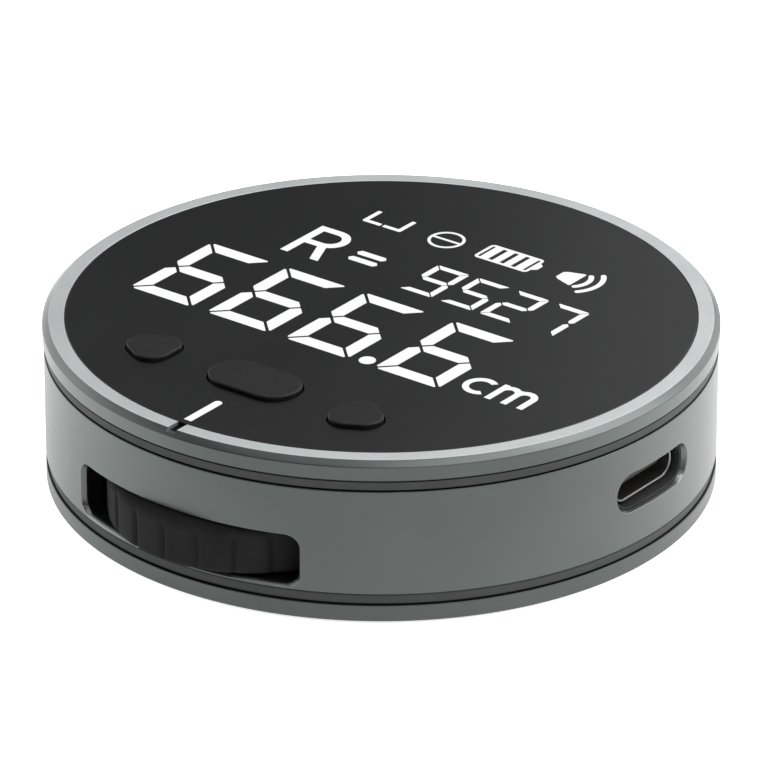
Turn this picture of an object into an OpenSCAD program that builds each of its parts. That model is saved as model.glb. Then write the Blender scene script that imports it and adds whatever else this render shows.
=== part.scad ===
// Pocket digital measuring wheel: a round metal puck with a rubber wheel that
// rolls in a slot in its side, a seven-segment display, three keys and a charging
// port. The origin is the centre of the base. +Z is up, the wheel faces -Y and
// the charging port faces +X.

/* [Body] */
// Diameter of the side wall
body_d = 62; // [61.5:0.5:63]
// Height from the base to the top of the bezel
body_h = 15.8; // [15.8:0.1:16.4]
// Thickness of the side wall
wall_t = 1.0; // [0.8:0.1:1.0]
// Thickness of the bottom cover
cover_t = 1.6; // [1.5:0.1:1.7]
// Height of the black seam over and under the side wall
seam_h = 0.15; // [0.1:0.05:0.2]
// Height of the bezel ring's outer face and chamfers
bezel_h = 2.8; // [2.6:0.1:2.8]

/* [Display] */
// Diameter of the black lens
lens_d = 58; // [57.6:0.1:58]
// Width of a large digit
digit_w = 7.15; // [6.8:0.05:7.3]
// Height of a large digit
digit_h = 12.05; // [11.5:0.05:12.2]
// Stroke of a large digit
digit_stroke = 1.42; // [1.2:0.02:1.5]
// Width of a small digit
small_w = 3.65; // [3.4:0.05:3.7]
// Height of a small digit
small_h = 6.05; // [5.6:0.05:6.2]
// Stroke of a small digit
small_stroke = 0.64; // [0.58:0.02:0.7]

/* [Measuring wheel] */
// Diameter of the tyre
wheel_d = 26.6; // [26.2:0.1:26.8]
// Distance from the centre of the body to the wheel's axle
wheel_offset = 19; // [18.9:0.05:19.1]
// Height of the tyre's lower face above the base
wheel_z = 3.35; // [3.3:0.05:3.4]
// Width of the tyre along its axle
wheel_w = 4.5; // [4.3:0.1:4.5]
// Number of tread blocks
tread_n = 24; // [18:1:30]
// Width of the slot in the side wall
slot_w = 24.2; // [24:0.1:24.4]
// Height of the slot
slot_h = 5.0; // [5:0.05:5.1]

/* [Keys] */
// How far a key stands proud of the lens
key_proud = 0.45; // [0.4:0.05:0.5]
// How far a key travels down
key_travel = 0.25; // [0.2:0.01:0.25]
// Gap round a key in the lens
key_gap = 0.12; // [0.1:0.01:0.15]

/* [Charging port] */
// Width of the port's opening in the side wall
port_w = 10.2; // [10:0.1:10.4]
// Height of the port's opening
port_h = 3.8; // [3.7:0.1:4]
// Height of the port's centre above the base
port_z = 8.0; // [7.9:0.05:8.1]

/* [Hidden] */
$fn = 96;
eps = 0.01;

body_r = body_d / 2;
wall_in = body_r - wall_t;
chamfer_h = 1.0;
chamfer_in = 0.2;
band_z0 = cover_t + seam_h;
bezel_z = body_h - bezel_h;
band_z1 = bezel_z - seam_h;
seam_r = body_r - 0.3;
frame_in = wall_in - 1.5;
frame_out = wall_in - 0.05;

// Bezel and lens
bezel_r = body_r + 0.1;
bezel_edge = 0.5;
bezel_top_r = body_r - bezel_edge;
notch_w = 1;
notch_d = 0.6;
lens_r = lens_d / 2;
lens_t = 1.3;
lens_z = body_h - lens_t;
ledge_r = lens_r - 1;
ink_t = 0.12;
ink_z = body_h - 0.1;

// Layout of the display, in the plane of the lens
digit_y = -9.85;
digit_x = [-21.65, -12.65, -3.55, 6.65];
small_y = 5.05;
small_x = [-1.75, 2.9, 7.4, 11.98];
icon_y = 16.15;
six = "acdefg";
side_reading = ["abcdfg", "acdfg", "abdeg", "abc"];

// Keys: the side keys are rounded triangles, each a list of corner centres
key_y = -18.7;
key_x = 11.3;
mid_key = [9.3, 5.3];
mid_corner = 2.6;
side_corner = 1.8;
side_key = [[11.15, -19.6], [12.4, -18.9], [11.15, -18.1]];
// Steps of a key's rounded edge: a share of key_proud, and how far in it is
key_steps = [[0.7, 0], [0.9, 0.1], [1, 0.25]];
flange_w = 0.8;
flange_z = lens_z - 0.05;
flange_t = 0.8;

// Wheel, cage and axle, stacked along the axle
wheel_r = wheel_d / 2;
wheel_top = wheel_z + wheel_w + 0.05;
tyre_in = 11.0;
axle_r = 1.5;
bush_gap = 0.05;
bush_r = 2.3;
boss_r = 3.4;
boss_z = wheel_z - 0.25;
boss_top = wheel_top + 0.25;
cage_in = wheel_r + 0.7;
cage_out = cage_in + 0.9;
cage_floor = 2.1;
cage_floor_top = 2.7;
cage_top = 8.7;
bridge_t = 0.8;
slot_z = wheel_z - 0.3;
slot_corner = 1.3;
groove_r = 0.5;

// Main board and what hangs from it
board_t = 1.0;
usb_w = 8.94;
usb_h = 3.2;
usb_x0 = 22.2;
usb_x1 = 29.5;
board_z = port_z + usb_h / 2;
board_top = board_z + board_t;
board_r = frame_in - 0.3;
sleeve_x = usb_x1 - 0.3;
tube_w = port_w - 0.4;
tube_h = port_h - 0.3;

// Display board, reflector and keypad parts
led_board_z = lens_z - 3.4;
led_board_t = 0.8;
reflector_z = led_board_z + led_board_t;
switch_z = board_top;
switch_a = 4.2;
switch_t = 1.5;
plunger_r = 0.95;
plunger_z = switch_z + 0.6;
plunger_top = switch_z + 1.9;

// Screw bosses round the frame
boss_ring_r = 25.3;
boss_angles = [55, 125, 205, 335];
post_r = 2;
screw_r = 0.8;
screw_head_r = 1.4;
pad_r = 27;
pad_t = 0.4;

// Battery
batt = [30, 19, 4.5];
batt_pos = [-4, 8.3];
tape_t = 0.6;

metal = [0.55, 0.58, 0.57];
black = [0.12, 0.12, 0.13];
white = [0.93, 0.94, 0.94];

// ---------- shared shapes ----------

// Rectangle with round corners, centred on the origin
module round_rect(w, h, r) {
    square([w - 2 * r, h], center = true);
    square([w, h - 2 * r], center = true);
    for (sx = [-1, 1], sy = [-1, 1])
        translate([sx * (w / 2 - r), sy * (h / 2 - r)]) circle(r);
}

// Straight-sided ring from z0 to z1
module ring(r_out, r_in, z0, z1) {
    translate([0, 0, z0]) difference() {
        cylinder(r = r_out, h = z1 - z0);
        translate([0, 0, -1]) cylinder(r = r_in, h = z1 - z0 + 2);
    }
}

// Disc or rod from z0 to z1
module rod(r, z0, z1) {
    translate([0, 0, z0]) cylinder(r = r, h = z1 - z0);
}

// Moves children to the wheel's axle
module at_axle() {
    translate([0, -wheel_offset, 0]) children();
}

// Extrudes a profile along X from x0 to x1, with the profile's x along Y and its y along Z
module along_x(x0, x1) {
    translate([x0, 0, port_z]) rotate([90, 0, 90]) linear_extrude(x1 - x0) children();
}

// Extrudes a profile out through the front wall, with its centre at height z
module through_front(z) {
    translate([0, 0, z]) rotate([90, 0, 0]) linear_extrude(body_r + 5) children();
}

// Stadium outline of a charging socket
module stadium(w, h) {
    square([w - h, h], center = true);
    for (s = [-1, 1]) translate([s * (w - h) / 2, 0]) circle(h / 2);
}

// Half-gap of the mitres between segments
function mitre(t) = t * 0.15;

// Outline of one segment in a w by h digit with stroke t: a is the top, b and c are
// the upper and lower right, d the bottom, e and f the lower and upper left, g the middle
function upper_left(w, h, t, m) =
    [[0, h - m], [t, h - t - m], [t, h / 2 + t / 2 + m], [t / 2, h / 2 + m], [0, h / 2 + t / 2 + m]];
function top_bar(w, h, t, m) =
    [[m, h], [w - m, h], [w - t - m, h - t], [t + m, h - t]];
function middle_bar(w, h, t, m) =
    [[t / 2 + m, h / 2], [t + m, h / 2 + t / 2], [w - t - m, h / 2 + t / 2],
     [w - t / 2 - m, h / 2], [w - t - m, h / 2 - t / 2], [t + m, h / 2 - t / 2]];
function flip_x(pts, w) = [for (p = pts) [w - p[0], p[1]]];
function flip_y(pts, h) = [for (p = pts) [p[0], h - p[1]]];
function segment(s, w, h, t, m) =
    s == "a" ? top_bar(w, h, t, m) :
    s == "b" ? flip_x(upper_left(w, h, t, m), w) :
    s == "c" ? flip_x(flip_y(upper_left(w, h, t, m), h), w) :
    s == "d" ? flip_y(top_bar(w, h, t, m), h) :
    s == "e" ? flip_y(upper_left(w, h, t, m), h) :
    s == "f" ? upper_left(w, h, t, m) :
    middle_bar(w, h, t, m);

// One digit, showing the segments named in lit
module digit(lit, w, h, t) {
    for (i = [0:len(lit) - 1]) polygon(segment(lit[i], w, h, t, mitre(t)));
}

// ---------- outlines on the lens ----------

module main_digit_ink() {
    dot_r = digit_stroke * 0.55;
    for (x = digit_x) translate([x, digit_y]) digit(six, digit_w, digit_h, digit_stroke);
    translate([5.3, digit_y + dot_r]) circle(dot_r);
}

module side_digit_ink() {
    for (i = [0:3])
        translate([small_x[i], small_y]) digit(side_reading[i], small_w, small_h, small_stroke);
}

// Capital R with a straight stem, a round bowl and a slanted leg
module letter_r(h, t) {
    bowl_r = 0.3 * h;
    bowl_y = h - bowl_r;
    square([t, h]);
    difference() {
        union() {
            translate([t, h - 2 * bowl_r]) square([h * 0.24, 2 * bowl_r]);
            translate([t + h * 0.24, bowl_y]) circle(bowl_r);
        }
        translate([t, h - 2 * bowl_r + t]) square([h * 0.24, 2 * (bowl_r - t)]);
        translate([t + h * 0.24, bowl_y]) circle(bowl_r - t);
        translate([-h, 0]) square([h + t, 2 * h]);
    }
    leg_top = h - 2 * bowl_r + t / 2;
    leg_x = t + h * 0.2;
    leg_out = h * 0.67;
    polygon([[leg_x, leg_top], [leg_x + 1.15 * t, leg_top], [leg_out, 0], [leg_out - 1.15 * t, 0]]);
}

// Equals sign: two bars
module equals_sign(w, t, pitch) {
    for (s = [-1, 1]) translate([0, s * pitch / 2]) round_rect(w, t, t * 0.3);
}

// Small c, open to the right
module letter_c(r, t) {
    difference() {
        circle(r);
        circle(r - t);
        translate([r * 0.45, -r * 0.55]) square([r, r * 1.1]);
    }
}

// Small m: three stems joined by two arches
module letter_m(w, h, t) {
    pitch = (w - t) / 2;
    arch_r = (pitch + t) / 2;
    for (i = [0:2]) translate([i * pitch, 0]) square([t, i == 0 ? h : h - arch_r]);
    for (i = [0:1]) translate([i * pitch + arch_r, h - arch_r]) difference() {
        circle(arch_r);
        circle(arch_r - t);
        translate([-2 * arch_r, -2 * arch_r]) square([4 * arch_r, 2 * arch_r]);
    }
}

module unit_letter_ink() {
    translate([-15.7, small_y]) letter_r(6.5, 0.85);
    translate([-7.9, 8.25]) equals_sign(3.3, 0.8, 1.4);
    translate([16.6, -7.2]) letter_c(1.65, 0.62);
    translate([18.2, -8.85]) letter_m(4.2, 3.3, 0.66);
}

// Pair of corner brackets for the measuring mode
module bracket_icon() {
    t = 0.46;
    for (s = [-1, 1]) scale([s, 1]) {
        translate([0.14, 0]) square([2.1, t]);
        translate([2.24 - t, 0]) square([t, 2.6]);
    }
}

// Ring with a bar across it
module ring_icon(r, t) {
    difference() {
        circle(r);
        circle(r - t);
    }
    square([2 * r - t, t], center = true);
}

// Battery outline with four bars and a tip
module battery_icon(w, h, t) {
    difference() {
        round_rect(w, h, 2 * t);
        round_rect(w - 2 * t, h - 2 * t, t);
    }
    bar_pitch = (w - 3 * t) / 4;
    for (i = [0:3])
        translate([(i - 1.5) * bar_pitch, 0]) square([bar_pitch - 0.8 * t, h - 2.4 * t], center = true);
    translate([w / 2 - 0.05, -h * 0.21]) square([0.6, h * 0.42]);
}

// Speaker cone with two sound arcs
module speaker_icon(t) {
    polygon([[0, -0.65], [0.35, -0.85], [2.05, -1.45], [2.05, 1.45], [0.35, 0.85], [0, 0.65]]);
    for (r = [2.2, 3.35]) translate([1.1, 0]) intersection() {
        difference() {
            circle(r);
            circle(r - t);
        }
        polygon([[0, 0], [4, 3.4], [4, -3.4]]);
    }
}

module status_icon_ink() {
    translate([-11.3, icon_y - 1.35]) bracket_icon();
    translate([-4.5, icon_y - 0.1]) ring_icon(1.8, 0.3);
    translate([2.55, icon_y + 0.15]) battery_icon(6.1, 3.4, 0.35);
    translate([8.4, icon_y + 0.15]) speaker_icon(0.62);
}

// White index line at the lens's front edge, round at its inner end
module index_ink() {
    translate([0, -24.1]) circle(0.4);
    translate([-0.4, -28.4]) square([0.8, 4.3]);
}

module raised_ink() {
    translate([0, 0, ink_z]) linear_extrude(ink_t) children();
}

// ---------- key outlines ----------

module mid_outline(grow) {
    translate([0, key_y])
        round_rect(mid_key[0] + 2 * grow, mid_key[1] + 2 * grow, mid_corner + grow);
}

module side_outline(side, grow) {
    hull() for (c = side_key) translate([side * c[0], c[1]]) circle(side_corner + grow, $fn = 32);
}

// Stem and retaining flange of a key, under the lens
module key_stem(x) {
    translate([x, key_y, 0]) rod(1.0, plunger_top, flange_z);
}

// ---------- outer shell ----------

// Top ring with a chamfered shoulder, a sloping lower edge and a ledge for the lens
module bezel_ring() {
    color(metal) difference() {
        rotate_extrude() polygon([
            [ledge_r, bezel_z], [bezel_r - chamfer_in, bezel_z], [bezel_r, bezel_z + chamfer_h],
            [bezel_r, body_h - bezel_edge], [bezel_top_r, body_h], [lens_r + 0.05, body_h],
            [lens_r + 0.05, lens_z], [ledge_r, lens_z]
        ]);
        translate([-notch_w / 2, -bezel_top_r, body_h - notch_d]) cube([notch_w, bezel_top_r - lens_r + 1, 2]);
    }
}

// Black insert that carries the index line across the bezel
module notch_insert() {
    color(black) intersection() {
        translate([-notch_w / 2, -bezel_top_r, body_h - notch_d]) cube([notch_w, 4, notch_d - 0.03]);
        ring(bezel_r, lens_r + 0.05, 0, body_h);
    }
}

// Side wall: a metal tube with a sloping lower edge, the wheel's slot and the port
module body_band() {
    color(metal) difference() {
        rotate_extrude() polygon([
            [wall_in, band_z0], [body_r - chamfer_in, band_z0], [body_r, band_z0 + chamfer_h],
            [body_r, band_z1], [wall_in, band_z1]
        ]);
        through_front(slot_z + slot_h / 2) round_rect(slot_w, slot_h, slot_corner);
        along_x(20, body_r + 5) stadium(port_w, port_h);
    }
}

module upper_gasket() {
    color("black") ring(seam_r, frame_in, band_z1, bezel_z);
}

module lower_gasket() {
    color("black") ring(seam_r, frame_in, cover_t, band_z0);
}

// Bottom plate with a recess for the pad and four countersunk screw holes
module bottom_cover() {
    color(metal) difference() {
        rotate_extrude() polygon([
            [0, 0], [body_r - 0.12, 0], [body_r, 0.12], [body_r, cover_t], [0, cover_t]
        ]);
        rod(pad_r, -1, pad_t);
        at_bosses() {
            rod(screw_r, 0, cover_t + 1);
            rod(screw_head_r, 0, pad_t + 0.65);
        }
    }
}

// Soft pad that hides the cover screws and lies flush with the base
module base_pad() {
    color(black) rod(pad_r - 0.05, 0, pad_t - 0.02);
}

// ---------- frame inside ----------

module at_bosses() {
    for (a = boss_angles) rotate(a) translate([boss_ring_r, 0, 0]) children();
}

// Plastic frame: a ring behind the side wall with four screw posts
module inner_frame() {
    color(black) difference() {
        union() {
            ring(frame_out, frame_in, band_z0, band_z1);
            at_bosses() {
                rod(post_r, cover_t, board_z);
                translate([0, -0.8, cover_t + 0.4]) cube([frame_in - boss_ring_r + 0.5, 1.6, 5]);
            }
        }
        at_bosses() rod(screw_r, 0, board_z + 1);
        through_front(slot_z + slot_h / 2) round_rect(slot_w + 0.8, slot_h + 0.5, slot_corner);
        along_x(20, body_r + 5) stadium(port_w + 0.5, port_h + 0.5);
    }
}

// Round well that the wheel turns in, with a boss that holds the axle's foot
module wheel_cage() {
    color(black) difference() {
        intersection() {
            at_axle() union() {
                rod(cage_out, cage_floor, cage_floor_top);
                ring(cage_out, cage_in, cage_floor, cage_top);
                rod(3, cover_t, cage_floor_top);
            }
            rod(frame_in - 0.05, 0, body_h);
        }
        at_axle() rod(axle_r, 0, body_h);
    }
}

// Strap across the well that holds the axle's head
module axle_bridge() {
    color("silver") difference() {
        at_axle() intersection() {
            translate([-cage_out, -2.5, cage_top]) cube([2 * cage_out, 5, bridge_t]);
            rod(cage_out, 0, body_h);
        }
        at_axle() rod(axle_r, 0, body_h);
    }
}

module wheel_axle() {
    color("lightgray") at_axle() rod(axle_r, cover_t, cage_top + bridge_t);
}

// Thrust washers under and over the hub
module thrust_washers() {
    color("ivory") at_axle() {
        ring(2.6, axle_r, cage_floor_top, boss_z - 0.1);
        ring(2.6, axle_r, boss_top + 0.1, cage_top);
    }
}

// ---------- measuring wheel ----------

module wheel_hub() {
    color([0.2, 0.2, 0.22]) at_axle() {
        ring(boss_r, bush_r, boss_z, boss_top);
        ring(tyre_in, boss_r - 0.2, wheel_z + 0.5, wheel_top - 0.5);
        ring(tyre_in, tyre_in - 1.2, wheel_z + 0.15, wheel_top - 0.1);
    }
}

module hub_bushing() {
    color("goldenrod") at_axle() ring(bush_r, axle_r + bush_gap, boss_z, boss_top);
}

// Rubber tyre with round shoulders and shallow grooves across its tread
module wheel_tyre() {
    shoulder = 0.9;
    foot = 0.4;
    color([0.2, 0.2, 0.2]) at_axle() difference() {
        rotate_extrude() {
            translate([tyre_in, wheel_z]) square([wheel_r - tyre_in - shoulder, wheel_top - wheel_z]);
            translate([tyre_in, wheel_z + foot])
                square([wheel_r - tyre_in, wheel_top - wheel_z - foot - shoulder]);
            translate([tyre_in, wheel_z]) square([wheel_r - tyre_in - foot, foot]);
            translate([wheel_r - foot, wheel_z + foot]) circle(foot);
            translate([wheel_r - shoulder, wheel_top - shoulder]) circle(shoulder);
        }
        for (i = [0:tread_n - 1]) rotate(i * 360 / tread_n)
            translate([0, -wheel_r - groove_r * 0.4, wheel_z - 1]) cylinder(r = groove_r, h = wheel_w + 2);
    }
}

// Code disc on the hub: a thin ring with windows that the sensor counts
module encoder_disc() {
    color("white") at_axle() difference() {
        ring(9.7, 5.5, wheel_top - 0.5, wheel_top - 0.3);
        for (i = [0:tread_n - 1]) rotate(i * 360 / tread_n)
            translate([7, -0.4, 0]) cube([2.2, 0.8, body_h]);
    }
}

// ---------- keys ----------

// Height above the flange of a step that stands a share of key_proud over the lens
function key_rise(share) = body_h + key_proud * share - flange_z + eps;

module middle_button() {
    color(black) {
        translate([0, 0, flange_z - flange_t]) linear_extrude(flange_t) mid_outline(flange_w);
        for (s = key_steps)
            translate([0, 0, flange_z - eps]) linear_extrude(key_rise(s[0])) mid_outline(-s[1]);
        key_stem(0);
    }
}

module side_button(side) {
    color(black) {
        translate([0, 0, flange_z - flange_t]) linear_extrude(flange_t) side_outline(side, flange_w);
        for (s = key_steps)
            translate([0, 0, flange_z - eps]) linear_extrude(key_rise(s[0])) side_outline(side, -s[1]);
        key_stem(side * key_x);
    }
}

module left_button() {
    side_button(-1);
}

module right_button() {
    side_button(1);
}

// Plunger of a tactile switch, under a key's stem
module plunger(x) {
    color("dimgray") translate([x, key_y, 0]) rod(plunger_r, plunger_z, plunger_top);
}

module left_plunger() {
    plunger(-key_x);
}

module middle_plunger() {
    plunger(0);
}

module right_plunger() {
    plunger(key_x);
}

// ---------- lens and display ----------

// Lens with holes for the keys and shallow pockets for the lit segments
module lens_panel() {
    color([0.1, 0.1, 0.11]) difference() {
        rod(lens_r, lens_z, body_h);
        translate([0, 0, lens_z - 1]) linear_extrude(lens_t + 2) {
            mid_outline(key_gap);
            side_outline(-1, key_gap);
            side_outline(1, key_gap);
        }
        raised_ink() {
            main_digit_ink();
            side_digit_ink();
            unit_letter_ink();
            status_icon_ink();
            index_ink();
        }
    }
}

module index_mark() {
    color("white") raised_ink() index_ink();
}

module main_digits() {
    color("white") raised_ink() main_digit_ink();
}

module side_digits() {
    color("white") raised_ink() side_digit_ink();
}

module unit_letters() {
    color("white") raised_ink() unit_letter_ink();
}

module status_icons() {
    color("white") raised_ink() status_icon_ink();
}

// Outline of the display unit under the lens
module display_area() {
    intersection() {
        translate([-23.5, -11.5]) square([47, 31.5]);
        circle(ledge_r - 0.6);
    }
}

// White frame with one light chamber behind each digit and icon
module reflector_frame() {
    color(white) translate([0, 0, reflector_z]) difference() {
        linear_extrude(lens_z - reflector_z) display_area();
        translate([0, 0, -1]) linear_extrude(lens_z) {
            for (x = digit_x) translate([x - 0.2, digit_y - 0.2]) square([digit_w + 0.4, digit_h + 0.4]);
            for (x = small_x) translate([x - 0.1, small_y - 0.1]) square([small_w + 0.2, small_h + 0.2]);
            translate([-16, small_y]) square([10, 6.6]);
            translate([14.5, -9]) square([6.5, 4]);
        }
    }
}

module display_board() {
    color([0.1, 0.35, 0.2]) translate([0, 0, led_board_z]) linear_extrude(led_board_t) display_area();
}

// Seven small lamps in each digit's chamber, one under each segment
module segment_lamps(w, h, a) {
    for (p = [[0.5, 0.94], [0.06, 0.72], [0.94, 0.72], [0.5, 0.5], [0.06, 0.28], [0.94, 0.28], [0.5, 0.06]])
        translate([p[0] * (w - a) + a / 2, p[1] * (h - a) + a / 2, 0.3]) cube([a, a, 0.6], center = true);
}

module display_leds() {
    color("lightyellow") translate([0, 0, reflector_z]) {
        for (x = digit_x) translate([x, digit_y, 0]) segment_lamps(digit_w, digit_h, 1.2);
        for (x = small_x) translate([x, small_y, 0]) segment_lamps(small_w, small_h, 0.7);
        for (x = [-14, -11, -8]) translate([x, small_y + 3, 0.3]) cube([1.2, 1.2, 0.6], center = true);
        for (x = [16.5, 19.5]) translate([x, -7, 0.3]) cube([1.2, 1.2, 0.6], center = true);
    }
}

// Plate on two posts that guides the three key stems
module button_guide() {
    plate_z = plunger_top + 0.25;
    color(black) difference() {
        union() {
            translate([0, 0, plate_z]) linear_extrude(0.5) intersection() {
                translate([-20, -24.8]) square([40, 11.6]);
                circle(ledge_r - 0.6);
            }
            for (s = [-1, 1]) translate([s * 6, -23.4, 0]) rod(1.2, board_top, plate_z);
        }
        for (x = [-key_x, 0, key_x]) translate([x, key_y, 0]) rod(1.25, 0, body_h);
    }
}

// ---------- electronics ----------

module main_board() {
    color([0.1, 0.35, 0.2]) difference() {
        rod(board_r, board_z, board_top);
        at_bosses() rod(screw_r, 0, body_h);
    }
}

// Controller, charger, memory and a row of small parts on the board's underside
module board_chips() {
    color([0.15, 0.15, 0.16]) {
        for (c = [[-6, 8, 7, 1.4], [15, -7, 3, 0.9], [-18, 6, 4, 1.0]])
            translate([c[0] - c[2] / 2, c[1] - c[2] / 2, board_z - c[3]]) cube([c[2], c[2], c[3]]);
        for (i = [0:5]) translate([-22, -3 + 2 * i, board_z - 0.6]) cube([1.6, 0.8, 0.6]);
        for (i = [0:3]) translate([2 + 2 * i, 20, board_z - 0.6]) cube([0.8, 1.6, 0.6]);
    }
}

// Reflective sensor that reads the code disc
module encoder_sensor() {
    color("black") translate([-1.7, -wheel_offset + 6.7, board_z - 1.3]) cube([3.4, 2.8, 1.3]);
}

// Bodies of the three tactile switches, each with a well for its plunger
module switch_bodies() {
    color("gray") for (x = [-key_x, 0, key_x]) translate([x, key_y, switch_z]) difference() {
        translate([-switch_a / 2, -switch_a / 2, 0]) cube([switch_a, switch_a, switch_t]);
        translate([0, 0, plunger_z - switch_z - key_travel - 0.05])
            cylinder(r = plunger_r + 0.1, h = switch_t);
    }
}

// Metal shell of the charging socket, open at its mouth
module usb_shell() {
    shell_t = 0.3;
    color("silver") difference() {
        along_x(usb_x0, usb_x1) stadium(usb_w, usb_h);
        along_x(usb_x0 + shell_t, usb_x1 + 1) stadium(usb_w - 2 * shell_t, usb_h - 2 * shell_t);
    }
}

module usb_tongue() {
    color("black") along_x(usb_x0 + 0.3, usb_x1 - 0.7) square([6.7, 0.7], center = true);
}

// Plastic tunnel that lines the port, with a flange behind the side wall
module port_sleeve() {
    color(black) difference() {
        intersection() {
            union() {
                along_x(sleeve_x, body_r) stadium(port_w - 0.06, port_h - 0.06);
                intersection() {
                    along_x(sleeve_x, body_r) stadium(port_w + 0.44, port_h + 0.44);
                    rod(frame_out, 0, body_h);
                }
            }
            rod(body_r - 0.5, 0, body_h);
        }
        along_x(20, body_r + 1) stadium(tube_w, tube_h);
    }
}

module buzzer() {
    color("black") translate([16.5, 9.6, 0]) difference() {
        rod(4.5, board_z - 2.6, board_z);
        rod(0.8, board_z - 3, board_z - 2);
    }
}

// Flat cell, its sealed end and its foam tape
module battery() {
    color("silver") translate([batt_pos[0], batt_pos[1], cover_t + tape_t]) {
        translate([-batt[0] / 2, -batt[1] / 2, 0]) cube(batt);
        translate([-batt[0] / 2 - 1.5, -batt[1] / 2 + 1, batt[2] / 2 - 0.4]) cube([1.5, batt[1] - 2, 0.8]);
    }
}

module battery_tape() {
    color("khaki") translate([batt_pos[0] - 12, batt_pos[1] - 8, cover_t]) cube([24, 16, tape_t]);
}

// Two wires from the cell's edge up to the board, each with one bend
module battery_leads() {
    lead_r = 0.45;
    bend = 1.5;
    lead_z = cover_t + tape_t + batt[2] / 2;
    lead_x = batt_pos[0] + batt[0] / 2;
    for (i = [0:1]) color(i == 0 ? "red" : "black") translate([lead_x, 3 - 1.6 * i, lead_z]) {
        rotate([0, 90, 0]) cylinder(r = lead_r, h = bend);
        translate([bend, 0, bend]) rotate([90, 0, 0]) rotate_extrude(angle = 90, start = 270)
            translate([bend, 0]) circle(lead_r);
        translate([2 * bend, 0, bend]) cylinder(r = lead_r, h = board_z - lead_z - bend);
    }
}

// ---------- fasteners ----------

module board_screws() {
    color("gray") at_bosses() {
        rod(screw_head_r, board_top, board_top + 0.45);
        rod(screw_r, board_z - 2.8, board_top + 0.1);
    }
}

module cover_screws() {
    color("gray") at_bosses() {
        rod(screw_head_r - 0.05, pad_t + 0.05, pad_t + 0.65);
        rod(screw_r, pad_t + 0.1, cover_t + 3.2);
    }
}

bezel_ring();
notch_insert();
lens_panel();
index_mark();
main_digits();
side_digits();
unit_letters();
status_icons();
reflector_frame();
display_board();
display_leds();
button_guide();
main_board();
board_chips();
switch_bodies();
encoder_sensor();
usb_shell();
usb_tongue();
port_sleeve();
buzzer();
battery();
battery_tape();
battery_leads();
body_band();
inner_frame();
wheel_cage();
axle_bridge();
wheel_axle();
thrust_washers();
upper_gasket();
lower_gasket();
bottom_cover();
base_pad();
board_screws();
cover_screws();
wheel_hub();
hub_bushing();
wheel_tyre();
encoder_disc();
left_button();
middle_button();
right_button();
left_plunger();
middle_plunger();
right_plunger();
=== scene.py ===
"""Looks of the pocket measuring wheel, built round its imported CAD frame.

Shapes are written in millimetres along the frame's own axes, and piece() turns them into
metres. The wheel faces -Y, the charging port faces +X and the lens faces +Z. Angles round
the body are in degrees from -Y towards +X.
"""
import math

import bmesh
import bpy
import numpy as np
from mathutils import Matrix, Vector
from mathutils.geometry import delaunay_2d_cdt


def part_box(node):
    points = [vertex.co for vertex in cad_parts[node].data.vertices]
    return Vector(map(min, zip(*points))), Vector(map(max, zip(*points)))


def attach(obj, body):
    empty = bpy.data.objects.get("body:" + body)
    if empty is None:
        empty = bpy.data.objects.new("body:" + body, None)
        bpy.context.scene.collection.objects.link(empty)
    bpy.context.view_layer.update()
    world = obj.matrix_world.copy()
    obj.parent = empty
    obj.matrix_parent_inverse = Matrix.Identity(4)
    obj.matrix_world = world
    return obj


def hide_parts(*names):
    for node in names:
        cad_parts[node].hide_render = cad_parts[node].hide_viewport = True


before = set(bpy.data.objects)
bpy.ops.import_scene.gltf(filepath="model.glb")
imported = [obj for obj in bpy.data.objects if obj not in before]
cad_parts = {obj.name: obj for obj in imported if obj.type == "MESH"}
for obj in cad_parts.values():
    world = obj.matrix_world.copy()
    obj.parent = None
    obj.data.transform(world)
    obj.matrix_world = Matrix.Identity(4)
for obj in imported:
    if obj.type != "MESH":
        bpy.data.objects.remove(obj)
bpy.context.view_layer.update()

MM = 0.001
TAU = 2 * math.pi
X, Z = 0, 2  # numbers of the axes
AROUND = 360  # points round a large circle
EDGE_STEPS = 4
NEAR = 0.001  # places nearer to each other than this are the same
MERGED = 2e-7  # in metres
SHARP = 40  # an edge that turns more than this many degrees stays sharp
LONG_EDGE = 3.0
LONG_EDGE_PARTS = 44


def ends(node, axis):
    """Lower and upper end of a CAD node's box along an axis, in millimetres."""
    return [round(corner[axis] / MM, 2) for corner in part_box(node)]


# ---------- sizes taken from the frame ----------

BODY_R = 31.0
WALL_IN = BODY_R - 1.0
BAND_Z0, BAND_Z1 = ends("body_band", Z)
BEZEL_Z, TOP_Z = ends("bezel_ring", Z)
KEY_FOOT, KEY_TOP = ends("middle_button", Z)
COVER_TOP = ends("bottom_cover", Z)[1]
LENS_Z = ends("lens_panel", Z)[0]
INK_TOP = ends("index_mark", Z)[1]
BEZEL_R = BODY_R + 0.1
BEZEL_TOP_R = BODY_R - 0.5
LENS_R = 29.0
LEDGE_R = 28.0
FRAME_IN = 28.5
SEAM_R = BODY_R - 0.3
FOOT_IN = 0.2
FOOT_STEP = 0.1
FOOT_H = 1.0
GROOVE_H = 0.14

WHEEL_R = ends("wheel_tyre", X)[1]
WHEEL_Z0, WHEEL_Z1 = ends("wheel_tyre", Z)
WHEEL_Y = -19.0
TYRE_IN = 11.0
TREADS = 24  # shallow grooves across the tyre's face

SLOT_W = 24.2
SLOT_H = 5.0
SLOT_Z = WHEEL_Z0 - 0.3 + SLOT_H / 2
SLOT_CORNER = 1.3

PORT_W = 10.2
PORT_H = 3.8
PORT_Z = 8.0
SHELL_W = 8.94
SHELL_H = 3.2
SHELL_X0, SHELL_X1 = ends("usb_shell", X)

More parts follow.
